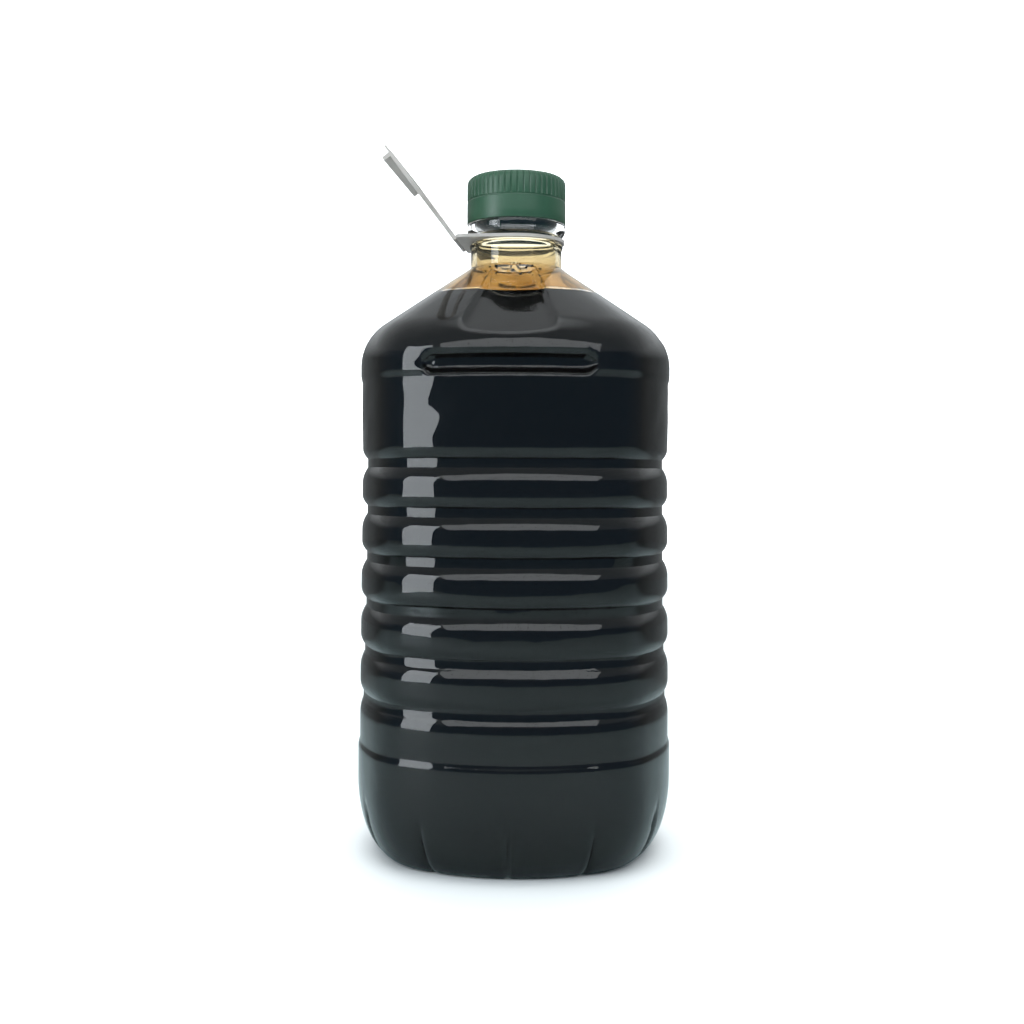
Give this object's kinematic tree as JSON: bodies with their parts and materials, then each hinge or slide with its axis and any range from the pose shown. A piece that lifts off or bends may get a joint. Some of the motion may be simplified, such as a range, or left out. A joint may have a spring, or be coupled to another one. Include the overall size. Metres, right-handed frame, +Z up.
{
  "type": "vinegar jug",
  "caption": "Square ribbed clear plastic jug of dark balsamic vinegar with a green screw cap and a folding carry handle clipped round its neck.",
  "frame": {"origin": "middle of the jug's foot, on the surface it stands on", "axes": "+Z up through the cap, -Y the front with the long slot, -X the side that the carry handle leans to at rest"},
  "size_m": [0.1564, 0.1564, 0.3453],
  "materials": {
    "clear_plastic": "clear blow-moulded plastic, glossy",
    "vinegar": "near-black liquid",
    "cap_plastic": "dark green moulded plastic, satin",
    "handle_plastic": "milky translucent moulded plastic"
  },
  "bodies": {
    "jug": {"bottle": "clear_plastic", "vinegar": "vinegar", "cap": "cap_plastic"},
    "collar": {"handle_ring": "handle_plastic"},
    "handle": {"handle_grip": "handle_plastic"}
  },
  "joints": [
    {"name": "collar_swivel", "type": "hinge", "parent": "jug", "child": "collar", "pos_m": [0, 0, 0.3027], "axis": [0, 0, 1], "continuous": true},
    {"name": "handle_fold", "type": "hinge", "parent": "collar", "child": "handle", "pos_m": [-0.0293, 0.00164, 0.3027], "axis": [0.0558, 0.9984, 0], "range_deg": [-98, 36]}
  ]
}
